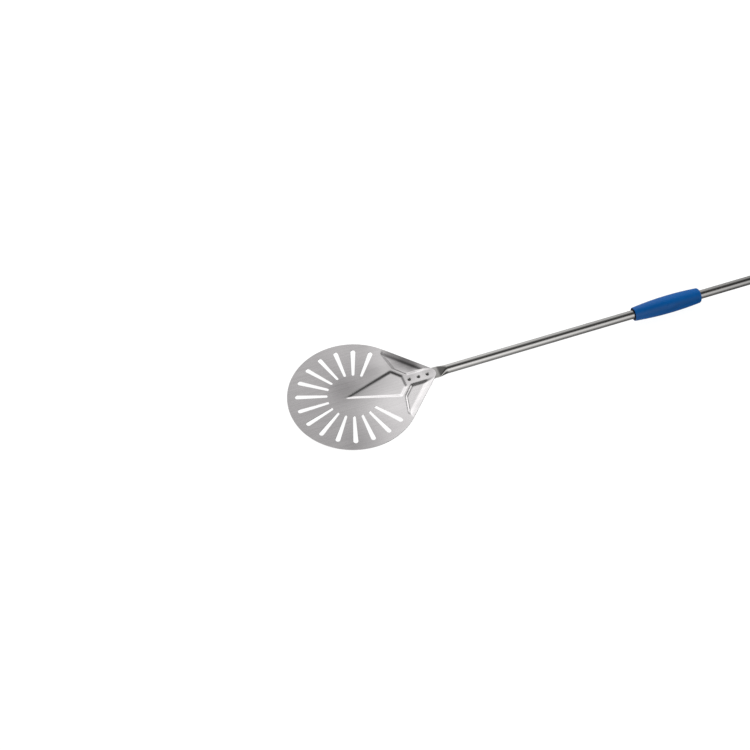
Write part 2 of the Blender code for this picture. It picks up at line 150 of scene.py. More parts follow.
# The mandrel's own head, as (height above its end, radius)
MANDREL_HEAD = (
    (0.0005, MANDREL_RADIUS),
    (0.00045, 0.0015),
    (0.0002, 0.0016),
    (0.00003, 0.0010),
    (0.0, 0.0),
)

# Grips
CROWN_RADIUS = 0.01425
CROWN_FALL = 0.89
GRIP_HEAD_SIDE = 0.0629
GRIP_FAR_SIDE = 0.0515
FRONT_ROUND = 0.0008
FAR_ROUND = 0.0030
GRIP_STEPS = 112
SIDE_STEPS = 40
ROUND_STEPS = 8
PARTING_RISE = 0.00005
SLIDING_CROWN_X = 0.5310
END_CROWN_X = 0.8290
FRONT_BUSH_RADIUS = 0.0094
REAR_BUSH_RADIUS = 0.0084
BUSH_LENGTH = 0.0150
BUSH_RECESS = 0.0010
GRIP_BORE_RADIUS = 0.0079
SEAT_CHAMFER = 0.0003
PARTING_CLEAR = 0.002  # the parting line is only on surfaces this far outside the bore
PARTING_SHARE = 0.029  # half width of the parting line, as a share of the radius
BUSH_STEPS = 80
BUSH_CHAMFER = 0.0004
BUSH_SHARP_DEGREES = 20

# End grip, plug and screw
END_FAR_SIDE = 0.0552
END_TAIL_START = 0.0370
END_TAIL_STEPS = 28
TAIL_HALF_HEIGHT = 0.0065
TAIL_FLAT_X = 0.8660
TAIL_SCOOP_RADIUS = 0.0100
TAIL_SCOOP_STEPS = 28
TAIL_EDGE_BEVEL = 0.0007
TAIL_BEVEL_DEGREES = 40
HANG_HOLE_X = 0.8720
HANG_HOLE_RADIUS = 0.0045
HANG_HOLE_STEPS = 64
SCREW_X = 0.8350
SCREW_RADIUS = 0.0015
THREAD_DEPTH = 0.00025
THREAD_PITCH = 0.0006
SCREW_POINT = 0.0012
THREAD_START = 0.0013  # below the tip
SCREW_HEAD_RADIUS = 0.0030
SCREW_HEAD_HEIGHT = 0.0020
SCREW_HEAD_DEPTH = 0.0110
SCREW_TIP_DEPTH = 0.0020
SCREW_SEAT_STEPS = 56
SCREW_STEPS = 48
SCREW_HEAD_EDGE = 0.0002
SCREW_HEAD_SIDE = 0.0011
# The rounded end of the screw's head, as (depth below its seat, share of its radius)
SCREW_HEAD_ROUND = ((0.0016, 0.88), (SCREW_HEAD_HEIGHT, 0.68))
DRIVE_SIZE = 0.0024
DRIVE_DEPTH = 0.0012
DRIVE_SIDES = 6
PLUG_STEPS = 64
PLUG_CHAMFER = 0.0006
PLUG_GROOVE = 0.00035  # depth
PLUG_GROOVE_PITCH = 0.0022
PLUG_GROOVE_START = 0.002
PLUG_GROOVE_END = 0.004
PLUG_GROOVE_SIDE = 0.0002
PLUG_GROOVE_FLOOR = 0.0010
PLUG_GROOVE_WIDTH = 0.0012

# Painted light on the head: its colour grows lighter along this direction
PAINTED_LIGHT_ALONG = (0.9, -0.43, 0.0)
PAINTED_LIGHT_FROM = 0.008
PAINTED_LIGHT_TO = 0.088
PAINTED_LIGHT_GAIN = 0.60
# Walls of the pressings near the spear's point get a painted highlight in their colour
WALL_FLAT = 0.998
WALL_STEEP = 0.985
WALL_HIGHLIGHT_PLACE = (-0.004, 0.0, 0.0)
WALL_HIGHLIGHT_REACH = 0.095
WALL_HIGHLIGHT_GAIN = 0.80
# Painted light and shade on the head: patches of x, y, reach and how much brighter or duller
PAINTED_LIGHT_SHADE_PATCHES = (
    (-0.008, 0.018, 0.042, -0.18),
    (0.046, -0.034, 0.046, 0.22),
    (0.008, -0.030, 0.040, 0.12),
    (0.040, 0.030, 0.030, -0.12),
    (0.060, 0.068, 0.050, 0.12),
    (0.010, 0.096, 0.055, 0.10),
    (-0.070, 0.060, 0.070, 0.03),
    (-0.015, -0.095, 0.050, -0.12),
    (0.082, 0.028, 0.024, -0.22),
    (0.090, 0.048, 0.028, -0.48),
    (0.105, 0.030, 0.028, -0.75),
    (0.103, 0.019, 0.015, -0.25),
    (0.095, 0.005, 0.018, -0.28),
    (0.124, 0.006, 0.020, -0.28),
    (0.090, -0.052, 0.022, -0.15),
)

# Studio light by direction. The angle goes up from +Y, over the top and down to -Y.
STUDIO = (
    (0, 1.25), (12, 1.18), (26, 1.30), (38, 1.40), (46, 1.12), (54, 0.84), (61, 0.63),
    (68, 0.42), (76, 0.27), (86, 0.15), (94, 0.08), (108, 0.05), (116, 0.24), (126, 0.72),
    (138, 1.50), (150, 2.05), (164, 1.85), (178, 1.50), (192, 1.20), (206, 1.05),
    (222, 1.10), (250, 1.35), (290, 0.55), (318, 0.40), (336, 0.80), (350, 1.20),
)
# How that changes with the direction's X times its Z, from -1 to 1
STUDIO_LEAN = ((-1.0, 0.15), (-0.26, 0.25), (-0.12, 0.55), (-0.03, 0.92), (0.167, 1.0))
# A dark screen from here on to the right, and a lamp beyond it
SCREEN = ((0.0, 1.0), (0.27, 1.0), (0.39, 0.62), (0.46, 0.36), (0.62, 0.27), (1.0, 0.27))
LAMP_X = (0.62, 0.78)
LAMP_Z = (0.10, 0.36)
LAMP = 1.00

# View
CAMERA_PLACE = (-0.5064, -1.4714, 2.0598)
CAMERA_RIGHT = (0.93830, -0.34582, -0.00030)
CAMERA_UP = (0.27352, 0.74159, 0.61256)
CAMERA_BACK = (-0.21161, -0.57485, 0.79042)
LENS = 81.87
SENSOR_WIDTH = 36.0
CLIP_END = 50.0

# Floor and overhead light
FLOOR_SIZE = 4.0
FLOOR_X = 0.4
FLOOR_CLEAR = 0.0005
FLOOR_GLOW = 0.955
OVERHEAD_SIZE = (2.4, 1.2)
OVERHEAD_POWER = 34.0
OVERHEAD_PLACE = (0.4, 0.85, 1.35)
OVERHEAD_TURN = (-0.55, 0.0, 0.0)


# ---------------------------------------------------------------- small helpers


def arc(centre_x, centre_y, radius, start, end, steps):
    """Points on an arc, both ends included."""
    angles = [start + (end - start) * i / steps for i in range(steps + 1)]
    return [
        (centre_x + radius * math.cos(a), centre_y + radius * math.sin(a)) for a in angles
    ]


def smoothstep(share):
    share = min(max(share, 0.0), 1.0)
    return share * share * (3 - 2 * share)


def mesh_object(name, bm, material, sharp_degrees=SHARP_DEGREES):
    mesh = bpy.data.meshes.new(name)
    bm.to_mesh(mesh)
    bm.free()
    mesh.shade_smooth()
    mesh.set_sharp_from_angle(angle=math.radians(sharp_degrees))
    mesh.materials.append(material)
    obj = bpy.data.objects.new(name, mesh)
    bpy.context.scene.collection.objects.link(obj)
    return obj


def stands_for(obj, node, body):
    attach(obj, body)
    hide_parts(node)


def edge_bevel(obj, width, segments, degrees):
    bevel = obj.modifiers.new("edges", "BEVEL")
    bevel.width = width
    bevel.segments = segments
    bevel.limit_method = "ANGLE"
    bevel.angle_limit = math.radians(degrees)
    bevel.harden_normals = True


def lathe(name, profile, steps, material, closed=True, sharp_degrees=SHARP_DEGREES):
    """A solid turned about +X. The profile is (distance along X, radius)."""
    bm = bmesh.new()
    rings = []
    for x, radius in profile:
        if radius < SAME_POINT:
            rings.append([bm.verts.new((x, 0.0, 0.0))])
            continue
        ring = []
        for i in range(steps):
            angle = 2 * math.pi * i / steps
            ring.append(bm.verts.new((x, radius * math.cos(angle), radius * math.sin(angle))))
        rings.append(ring)
    pairs = list(zip(rings, rings[1:]))
    if closed:
        pairs.append((rings[-1], rings[0]))
    for near, far in pairs:
        for i in range(steps):
            j = (i + 1) % steps
            corners = [near[i % len(near)], near[j % len(near)]]
            corners += [far[j % len(far)], far[i % len(far)]]
            unique = list(dict.fromkeys(corners))
            if len(unique) > 2:
                bm.faces.new(unique)
    bmesh.ops.recalc_face_normals(bm, faces=bm.faces[:])
    return mesh_object(name, bm, material, sharp_degrees)


# ---------------------------------------------------------------- materials


class Surface:
    """A Principled material with helpers for its procedural detail."""

    def __init__(self, name, **values):
        self.material = bpy.data.materials.new(name)
        self.material.use_nodes = True
        self.nodes = self.material.node_tree.nodes
        self.links = self.material.node_tree.links
        self.shader = self.nodes["Principled BSDF"]
        for socket, value in values.items():
            self.shader.inputs[socket.replace("_", " ")].default_value = value
        self.place = self.nodes.new("ShaderNodeTexCoord").outputs["Object"]

    def set(self, socket, value):
        if isinstance(value, bpy.types.NodeSocket):
            self.links.new(value, socket)
        else:
            socket.default_value = value

    def scaled(self, scale):
        """Object coordinates with their own scale along X, Y and Z."""
        node = self.nodes.new("ShaderNodeMapping")
        self.links.new(self.place, node.inputs["Vector"])
        node.inputs["Scale"].default_value = scale
        return node.outputs["Vector"]

    def noise(self, scale, detail, roughness=0.55, distortion=0.0):
        node = self.nodes.new("ShaderNodeTexNoise")
        self.links.new(self.scaled(scale), node.inputs["Vector"])
        node.inputs["Scale"].default_value = 1.0
        node.inputs["Detail"].default_value = detail
        node.inputs["Roughness"].default_value = roughness
        node.inputs["Distortion"].default_value = distortion
        return node.outputs["Fac"]

    def cells(self, scale):
        node = self.nodes.new("ShaderNodeTexVoronoi")
        self.links.new(self.scaled(scale), node.inputs["Vector"])
        node.inputs["Scale"].default_value = 1.0
        return node.outputs["Distance"]

    def patch(self, centre, reach, amount):
        """amount at the centre, fading smoothly to nothing at reach."""
        node = self.nodes.new("ShaderNodeVectorMath")
        node.operation = "DISTANCE"
        self.links.new(self.place, node.inputs[0])
        node.inputs[1].default_value = centre
        fade = self.nodes.new("ShaderNodeMapRange")
        fade.interpolation_type = "SMOOTHERSTEP"
        self.links.new(node.outputs["Value"], fade.inputs["Value"])
        for socket, value in zip(fade.inputs[1:5], (0.0, reach, amount, 0.0)):
            socket.default_value = value
        return fade.outputs["Result"]

    def along(self, direction):
        """Distance from the origin along a direction."""
        node = self.nodes.new("ShaderNodeVectorMath")
        node.operation = "DOT_PRODUCT"
        self.links.new(self.place, node.inputs[0])
        node.inputs[1].default_value = direction
        return node.outputs["Value"]

    def upright(self):
        """The surface's own normal along Z, positive on either face of a sheet."""
        node = self.nodes.new("ShaderNodeSeparateXYZ")
        place = self.nodes.new("ShaderNodeTexCoord")
        self.links.new(place.outputs["Normal"], node.inputs["Vector"])
        return self.math("ABSOLUTE", node.outputs["Z"])

    def spread(self, value, low, high, to_low, to_high):
        node = self.nodes.new("ShaderNodeMapRange")
        self.set(node.inputs["Value"], value)
        node.inputs["From Min"].default_value = low
        node.inputs["From Max"].default_value = high
        node.inputs["To Min"].default_value = to_low
        node.inputs["To Max"].default_value = to_high
        return node.outputs["Result"]

    def math(self, operation, a, b=0.0):
        node = self.nodes.new("ShaderNodeMath")
        node.operation = operation
        self.set(node.inputs[0], a)
        self.set(node.inputs[1], b)
        return node.outputs["Value"]

    def mix_colour(self, share, a, b):
        node = self.nodes.new("ShaderNodeMix")
        node.data_type = "RGBA"
        self.set(node.inputs["Factor"], share)
        self.set(node.inputs["A"], a)
        self.set(node.inputs["B"], b)
        return node.outputs["Result"]

    def bump(self, height, distance, strength=1.0, normal=None):
        node = self.nodes.new("ShaderNodeBump")
        self.links.new(height, node.inputs["Height"])
        node.inputs["Distance"].default_value = distance
        node.inputs["Strength"].default_value = strength
        if normal:
            self.links.new(normal, node.inputs["Normal"])
        return node.outputs["Normal"]

    def clear_from_behind(self):
        """Makes the back of the surface invisible."""
        mix = self.nodes.new("ShaderNodeMixShader")
        behind = self.nodes.new("ShaderNodeNewGeometry").outputs["Backfacing"]
        clear = self.nodes.new("ShaderNodeBsdfTransparent").outputs["BSDF"]
        self.links.new(behind, mix.inputs["Fac"])
        self.links.new(self.shader.outputs["BSDF"], mix.inputs[1])
        self.links.new(clear, mix.inputs[2])
        self.links.new(mix.outputs["Shader"], self.nodes["Material Output"].inputs["Surface"])

    def feed(self, socket, value):
        self.links.new(value, self.shader.inputs[socket])


def rgba(red, green, blue):
    return (red, green, blue, 1.0)


DULL_STEEL = rgba(0.31, 0.298, 0.301)
BRIGHT_STEEL = rgba(0.95, 0.925, 0.93)
SPECK_STEEL = rgba(0.44, 0.42, 0.425)


def brushed_sheet():
    """Stainless sheet: fine grain, stone scuffs, and painted light, shade and highlights that
    vary over the head.
    """
    s = Surface("head_steel", Metallic=1.0)
    grain = s.noise((260.0, 5200.0, 260.0), 3.0)
    scuff = s.noise((900.0, 90.0, 900.0), 5.0, 0.7)
    cloud = s.noise((14.0, 14.0, 14.0), 3.0)
    streaks = s.noise((9.0, 320.0, 9.0), 4.0)
    specks = s.cells((420.0, 420.0, 420.0))
    tone = s.spread(grain, 0.3, 0.7, 0.23, 0.35)
    tone = s.math("ADD", tone, s.spread(cloud, 0.3, 0.7, -0.04, 0.04))
    tone = s.math("ADD", tone, s.spread(streaks, 0.3, 0.7, -0.05, 0.05))
    tone = s.math("ADD", tone, s.spread(scuff, 0.62, 0.75, 0.0, 0.12))
    # painted light: the head's colour grows lighter along one direction
    painted_light_gradient = s.spread(s.along(PAINTED_LIGHT_ALONG), PAINTED_LIGHT_FROM, PAINTED_LIGHT_TO, 0.0, PAINTED_LIGHT_GAIN)
    tone = s.math("ADD", tone, painted_light_gradient)
    # painted light and shade: patches that lighten or darken the head's colour
    for x, y, reach, amount in PAINTED_LIGHT_SHADE_PATCHES:
        tone = s.math("ADD", tone, s.patch((x, y, 0.0), reach, amount))
    # painted highlight on the steep walls of the pressings near the spear's point
    highlight_walls_mask = s.spread(s.upright(), WALL_FLAT, WALL_STEEP, 0.0, 1.0)
    wall_highlight = s.patch(WALL_HIGHLIGHT_PLACE, WALL_HIGHLIGHT_REACH, WALL_HIGHLIGHT_GAIN)
    tone = s.math("ADD", tone, s.math("MULTIPLY", highlight_walls_mask, wall_highlight))
    base = s.mix_colour(tone, DULL_STEEL, BRIGHT_STEEL)
    marks = s.spread(specks, 0.0, 0.12, 0.18, 0.0)
    s.feed("Base Color", s.mix_colour(marks, base, SPECK_STEEL))
    rough = s.spread(cloud, 0.25, 0.75, 0.20, 0.27)
    s.feed("Roughness", s.math("ADD", rough, s.spread(scuff, 0.6, 0.8, 0.0, 0.10)))
    normal = s.bump(grain, 0.000008, 0.3)
    s.feed("Normal", s.bump(cloud, 0.0006, 0.08, normal))
    return s.material


def drawn_tube():
    """Bright drawn tube: faint lines along it and a few rubbed marks round it."""
    s = Surface("tube_steel", Metallic=1.0)
    lines = s.noise((6.0, 2600.0, 2600.0), 3.0)
    rubs = s.noise((700.0, 60.0, 60.0), 4.0, 0.65)
    cloud = s.noise((30.0, 60.0, 60.0), 3.0)
    tone = s.spread(lines, 0.3, 0.7, 0.35, 0.65)
    tone = s.math("ADD", tone, s.spread(rubs, 0.6, 0.8, 0.0, 0.2))
    dark, light = rgba(0.37, 0.363, 0.354), rgba(0.48, 0.471, 0.460)
    s.feed("Base Color", s.mix_colour(tone, dark, light))
    rough = s.spread(cloud, 0.3, 0.7, 0.14, 0.20)
    s.feed("Roughness", s.math("ADD", rough, s.spread(rubs, 0.55, 0.8, 0.0, 0.12)))
    s.feed("Normal", s.bump(lines, 0.000006, 0.3))
    return s.material


def satin_metal(name, dark, light, roughness):
    """Small fasteners: a tumbled finish with dull handling marks."""
    s = Surface(name, Metallic=1.0)
    tumbled = s.noise((1800.0, 1800.0, 1800.0), 4.0)
    dull = s.noise((350.0, 350.0, 350.0), 3.0)
    s.feed("Base Color", s.mix_colour(s.spread(dull, 0.3, 0.7, 0.0, 1.0), dark, light))
    s.feed("Roughness", s.spread(tumbled, 0.3, 0.7, roughness - 0.06, roughness + 0.08))
    s.feed("Normal", s.bump(tumbled, 0.00002, 0.4))
    return s.material


def moulded_plastic(name, deep, bright, roughness):
    """Satin moulded plastic: flow clouds, a fine spark-eroded texture and rubbed patches."""
    s = Surface(name, Specular_IOR_Level=0.16)
    flow = s.noise((22.0, 60.0, 60.0), 3.0, 0.5, 0.6)
    pitted = s.noise((900.0, 900.0, 900.0), 2.0)
    rubbed = s.noise((38.0, 70.0, 70.0), 5.0, 0.6)
    s.feed("Base Color", s.mix_colour(s.spread(flow, 0.3, 0.7, 0.15, 0.85), deep, bright))
    rough = s.spread(rubbed, 0.35, 0.7, roughness + 0.05, roughness - 0.06)
    s.feed("Roughness", s.math("ADD", rough, s.spread(pitted, 0.3, 0.7, -0.03, 0.03)))
    s.feed("Normal", s.bump(pitted, 0.00004, 0.22))
    return s.material


def make_materials():
    blue = (rgba(0.0012, 0.056, 0.205), rgba(0.0022, 0.078, 0.275))
    return {
        "head_steel": brushed_sheet(),
        "tube_steel": drawn_tube(),
        "rivet_metal": satin_metal(
            "rivet_metal", rgba(0.34, 0.335, 0.33), rgba(0.46, 0.455, 0.45), 0.27
        ),
        # the mandrel is steel, coloured near black to paint the shade in the rivet's bore
        "mandrel_steel": satin_metal(
            "mandrel_steel", rgba(0.10, 0.10, 0.10), rgba(0.21, 0.205, 0.20), 0.45
        ),
        "screw_steel": satin_metal(
            "screw_steel", rgba(0.48, 0.48, 0.47), rgba(0.66, 0.65, 0.63), 0.24
        ),
        "slider_blue": moulded_plastic("slider_blue", *blue, 0.30),
        "handle_blue": moulded_plastic("handle_blue", *blue, 0.33),
        "bush_black": moulded_plastic(
            "bush_black", rgba(0.012, 0.012, 0.014), rgba(0.026, 0.026, 0.029), 0.48
        ),
        "plug_grey": moulded_plastic(
            "plug_grey", rgba(0.16, 0.16, 0.17), rgba(0.26, 0.26, 0.27), 0.55
        ),
    }


# ---------------------------------------------------------------- head


def head_outline():
    """The head's edge as one loop of (x, y): two circles and their common tangents."""
    lean = math.acos((HEAD_RADIUS - NOSE_RADIUS) / NOSE_X)
    nose = arc(NOSE_X, 0.0, NOSE_RADIUS, -lean, lean, NOSE_STEPS)
    disc = arc(0.0, 0.0, HEAD_RADIUS, lean, 2 * math.pi - lean, DISC_STEPS)
    left = [
        tuple(p + (q - p) * i / EDGE_STEPS for p, q in zip(nose[-1], disc[0]))
        for i in range(1, EDGE_STEPS)
    ]
    right = [(x, -y) for x, y in reversed(left)]
    return nose + left + disc + right


def slot_outline(turn):
    """A tapered slot's edge, turned about the head's centre."""
    near = SLOT_INNER_END + SLOT_INNER_RADIUS
    far = SLOT_OUTER_END - SLOT_OUTER_RADIUS
    lean = math.acos((SLOT_INNER_RADIUS - SLOT_OUTER_RADIUS) / (far - near))
    points = arc(far, 0.0, SLOT_OUTER_RADIUS, -lean, lean, SLOT_OUTER_STEPS)
    points += arc(near, 0.0, SLOT_INNER_RADIUS, lean, 2 * math.pi - lean, SLOT_INNER_STEPS)
    c, s = math.cos(turn), math.sin(turn)
    return [(c * x - s * y, s * x + c * y) for x, y in points]


def inside(point, loop):
    """Whether a point lies in a closed outline."""
    x, y = point
    crossings = 0
    for (ax, ay), (bx, by) in zip(loop, loop[1:] + loop[:1]):
        if (ay > y) != (by > y) and x < ax + (y - ay) * (bx - ax) / (by - ay):
            crossings += 1
    return crossings % 2 == 1


class PressedSurface:
    """Height of the pressed sheet's top face, with each bend rounded."""

    def __init__(self, cad_blade):
        bm = bmesh.new()
        bm.from_mesh(cad_blade.data)
        self.tree = BVHTree.FromBMesh(bm)
        bm.free()
        self.spread = [(0.0, 0.0)]
        for ring in range(1, BEND_RINGS + 1):
            reach = BEND_RADIUS * ring / BEND_RINGS
            self.spread += [
                (reach * math.cos(a), reach * math.sin(a))
                for a in (2 * math.pi * i / BEND_SPOKES for i in range(BEND_SPOKES))
            ]

    def raw(self, x, y):
        """The unrounded top face at x and y, or None past the sheet's edge."""
        above = Vector((x, y, CAST_FROM_Z))
        return self.tree.ray_cast(above, Vector((0.0, 0.0, -1.0)))[0]

    def height(self, x, y):
        """Past the edge of the sheet the slope inside it is carried on."""
        if x < PRESSED_FROM_X:
            return SHEET
        middle = self.raw(x, y) or self.raw(x * EDGE_INSET, y * EDGE_INSET)
        if middle is None:
            return SHEET
        total = 0.0
        for dx, dy in self.spread:
            here = self.raw(x + dx, y + dy)
            across = self.raw(x - dx, y - dy)
            if here:
                total += here.z
            elif across:
                total += 2 * middle.z - across.z
            else:
                total += middle.z
        return total / len(self.spread)


def edge_y(x):
    """Half width of the head at x."""
    lean = math.acos((HEAD_RADIUS - NOSE_RADIUS) / NOSE_X)
    if x < HEAD_RADIUS * math.cos(lean):
        return math.sqrt(max(HEAD_RADIUS**2 - x * x, 0.0))
    if x > NOSE_X + NOSE_RADIUS * math.cos(lean):
        return math.sqrt(max(NOSE_RADIUS**2 - (x - NOSE_X) ** 2, 0.0))
    return (HEAD_RADIUS - x * math.cos(lean)) / math.sin(lean)


def staggered_grid(low_x, high_x, grid):
    """Points of the head between two places along X, in staggered columns."""
    points = []
    rows = int(2 * HEAD_RADIUS / grid)
    for i in range(int((high_x - low_x) / grid)):
        x = low_x + (i + 0.5) * grid
        edge = edge_y(x) - EDGE_CLEAR * min(grid, EDGE_CLEAR_GRID)
        for j in range(rows):
            y = -HEAD_RADIUS + (j + 0.5 + 0.5 * (i % 2)) * grid
            if abs(y) < edge:
                points.append((x, y))
    return points


def sheet_points(slots):
    """Inner points: a fine grid where the sheet is pressed and a coarse one elsewhere."""
    points = staggered_grid(-HEAD_RADIUS, PRESSED_FROM_X, FLAT_GRID)
    points += staggered_grid(PRESSED_FROM_X, NOSE_X + NOSE_RADIUS, PRESSED_GRID)
    kept = []
    for point in points:
        in_slot = any(
            math.dist(point, middle) < reach and inside(point, loop)
            for loop, middle, reach in slots
        )
        in_hole = any(
            math.dist(point, (x, 0.0)) < RIVET_HOLE_RADIUS + HOLE_CLEAR for x in RIVET_XS
        )
        if not in_slot and not in_hole:
            kept.append(point)
    return kept


def slot_loops():
    """Each slot as its edge, its middle and how far it reaches from there."""
    slots = []
    along = (SLOT_INNER_END + SLOT_OUTER_END) / 2
    reach = (SLOT_OUTER_END - SLOT_INNER_END) / 2 + SLOT_MARGIN
    for i in range(SLOT_COUNT):
        turn = math.pi + (i - (SLOT_COUNT - 1) / 2) * SLOT_PITCH
        middle = (along * math.cos(turn), along * math.sin(turn))
        slots.append((slot_outline(turn), middle, reach))
    return slots


def thicken(bm):
    """Gives the pressed surface its thickness, measured across it, below its top face."""
    bm.normal_update()
    normals = {v: v.normal.copy() for v in bm.verts}
    if sum(n.z for n in normals.values()) < 0:
        normals = {v: -n for v, n in normals.items()}
    below = {
        (round(v.co.x, SAME_PLACES), round(v.co.y, SAME_PLACES)): normal * SHEET
        for v, normal in normals.items()
    }
    made = bmesh.ops.extrude_face_region(bm, geom=bm.faces[:], use_keep_orig=True)
    for vert in [v for v in made["geom"] if isinstance(v, bmesh.types.BMVert)]:
        vert.co -= below[(round(vert.co.x, SAME_PLACES), round(vert.co.y, SAME_PLACES))]
    bmesh.ops.recalc_face_normals(bm, faces=bm.faces[:])


def make_head(cad_blade, material):
    surface = PressedSurface(cad_blade)
    slots = slot_loops()
    holes = [
        arc(x, 0.0, RIVET_HOLE_RADIUS, 0.0, 2 * math.pi, RIVET_HOLE_STEPS)[:-1]
        for x in RIVET_XS
    ]
    points, faces = [], []
    for loop in [head_outline()] + [slot[0] for slot in slots] + holes:
        faces.append(list(range(len(points), len(points) + len(loop))))
        points += loop
    points += sheet_points(slots)
    filled = delaunay_2d_cdt(points, [], faces, 1, SAME_POINT, True)
    corners, triangles, owners = filled[0], filled[2], filled[5]
    bm = bmesh.new()
    verts = [bm.verts.new((p.x, p.y, surface.height(p.x, p.y))) for p in corners]
    for triangle, owner in zip(triangles, owners):
        if list(owner) == [0]:
            bm.faces.new([verts[i] for i in triangle])
    for vert in [v for v in bm.verts if not v.link_faces]:
        bm.verts.remove(vert)
    thicken(bm)
    head = mesh_object("head_sheet", bm, material, SHEET_SHARP_DEGREES)
    edge_bevel(head, SHEET_EDGE_BEVEL, 2, SHEET_BEVEL_DEGREES)
    stands_for(head, "blade", "peel")


# ---------------------------------------------------------------- cutting


def cutter_object(name, bm):
    mesh = bpy.data.meshes.new(name)
    bm.to_mesh(mesh)
    bm.free()
    return bpy.data.objects.new(name, mesh)


def hole_cutter(name, x, low, high, radius, segments=40):
    """An upright rod at x, from low to high."""
    bm = bmesh.new()
    bmesh.ops.create_cone(
        bm, cap_ends=True, segments=segments, radius1=radius, radius2=radius, depth=high - low
    )
    bmesh.ops.translate(bm, verts=bm.verts[:], vec=(x, 0.0, (low + high) / 2))
    return cutter_object(name, bm)


def cut_now(obj, cutters):
    """Applies a Boolean cut by each cutter and removes the cutters."""
    for cutter in cutters:
        bpy.context.scene.collection.objects.link(cutter)
        modifier = obj.modifiers.new(cutter.name, "BOOLEAN")
        modifier.operation = "DIFFERENCE"
        modifier.solver = "EXACT"
        modifier.object = cutter
    graph = bpy.context.evaluated_depsgraph_get()
    done = bpy.data.meshes.new_from_object(obj.evaluated_get(graph))
    obj.modifiers.clear()
    obj.data = done
    for cutter in cutters:
        bpy.data.objects.remove(cutter, do_unlink=True)


# ---------------------------------------------------------------- tube


def tube_section(x, half_height, axis_z, inset=0.0):
    """A ring round the tube. Its outer perimeter is the same at every height."""
    half_width = TUBE_RADIUS + (TUBE_RADIUS - half_height) * (math.pi / 2 - 1)
    straight = half_width - half_height
    radius = half_height - inset
    ring = []
    for i in range(TUBE_FACETS):
        angle = 2 * math.pi * (i + 0.5) / TUBE_FACETS
        y = radius * math.cos(angle) + math.copysign(straight, math.cos(angle))
        ring.append((x, y, axis_z + radius * math.sin(angle)))
    return ring


def flare(share):
    """Place and half height of the tube's section, from flat at 0 to round at 1."""
    x = FLARE_START_X + (FLARE_END_X - FLARE_START_X) * share
    return x, TUBE_WALL + (TUBE_RADIUS - TUBE_WALL) * smoothstep(share)


def make_tube(axis_z, material):
    shares = [i / FLARE_STEPS for i in range(FLARE_STEPS + 1)]
    rings = [tube_section(STRIP_START_X, TUBE_WALL, axis_z)]
    rings += [tube_section(*flare(share), axis_z) for share in shares]
    lengths = int((TUBE_END_X - FLARE_END_X) / TUBE_LENGTH_STEP)
    for i in range(1, lengths + 1):
        x = FLARE_END_X + (TUBE_END_X - FLARE_END_X) * i / lengths
        rings.append(tube_section(x, TUBE_RADIUS, axis_z))
    rings.append(tube_section(TUBE_END_X, TUBE_RADIUS, axis_z, TUBE_WALL))
    hollow = [share for share in reversed(shares) if share >= BORE_START_SHARE]
    rings += [tube_section(*flare(share), axis_z, TUBE_WALL) for share in hollow]
    bm = bmesh.new()
    loops = [[bm.verts.new(point) for point in ring] for ring in rings]
    for near, far in zip(loops, loops[1:]):
        for i in range(TUBE_FACETS):
            j = (i + 1) % TUBE_FACETS
            bm.faces.new((near[i], near[j], far[j], far[i]))
    bm.faces.new(loops[0])
    bm.faces.new(loops[-1])
    bmesh.ops.recalc_face_normals(bm, faces=bm.faces[:])
    tube = mesh_object("tube", bm, material)
    reach = 2 * TUBE_RADIUS
    cut_now(
        tube,
        [
            hole_cutter(f"hole_{i}", x, axis_z - reach, axis_z + reach, RIVET_HOLE_RADIUS)
            for i, x in enumerate(RIVET_XS)
        ],
    )
    stands_for(tube, "handle_tube", "peel")


# ---------------------------------------------------------------- rivets


def upright(obj, x):
    """Turns a piece lathed about +X so that it stands upright at x."""
    obj.data.transform(Matrix.Rotation(-math.pi / 2, 4, "Y"))
    obj.data.transform(Matrix.Translation((x, 0.0, 0.0)))


def dome(top, start, radius, height):
    """A spherical cap's side, from radius start out to its full radius."""
    sphere = (radius * radius + height * height) / (2 * height)
    reach = [start + (radius - start) * i / DOME_STEPS for i in range(DOME_STEPS + 1)]
    return [(top - sphere + math.sqrt(sphere * sphere - r * r), r) for r in reach]


def make_rivet(number, x, material):
    low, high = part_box(f"rivet_{number}")
    radius = (high[1] - low[1]) / 2
    top, tail = high[2], low[2]
    profile = [(top - RIVET_BORE_DEPTH, RIVET_BORE_RADIUS)]
    profile += [(top - RIVET_RIM_DEPTH, RIVET_RIM_RADIUS)]
    profile += dome(top, RIVET_DOME_START, radius, RIVET_DOME_HEIGHT)
    head_low = top - RIVET_HEAD_HEIGHT
    profile += [(head_low, radius * RIVET_HEAD_UNDERCUT), (head_low, RIVET_SHANK_RADIUS)]
    profile += [(tail + rise, r) for rise, r in RIVET_TAIL]
    body = lathe(f"rivet_body_{number}", profile, RIVET_STEPS, material)
    upright(body, x)
    stands_for(body, f"rivet_{number}", "peel")


def make_mandrel(number, x, material):
    low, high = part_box(f"rivet_{number}_mandrel")
    profile = [(high[2] - depth, r) for depth, r in MANDREL_BREAK]
    profile += [(low[2] + rise, r) for rise, r in MANDREL_HEAD]
    stem = lathe(f"rivet_stem_{number}", profile, MANDREL_STEPS, material, False)
    upright(stem, x)
    stands_for(stem, f"rivet_{number}_mandrel", "peel")


def make_rivets(materials):
    for number, x in enumerate(RIVET_XS, 1):
        make_rivet(number, x, materials["rivet_metal"])
        make_mandrel(number, x, materials["mandrel_steel"])


# ---------------------------------------------------------------- grips


def crowned(distance):
    """A barrel's radius at a distance from its crown."""
    return CROWN_RADIUS - CROWN_FALL * distance * distance


def crowned_side(start, end):
    """A barrel's side between two distances from its crown."""
    steps = [start + (end - start) * i / SIDE_STEPS for i in range(SIDE_STEPS + 1)]
    return [(x, crowned(x)) for x in steps]


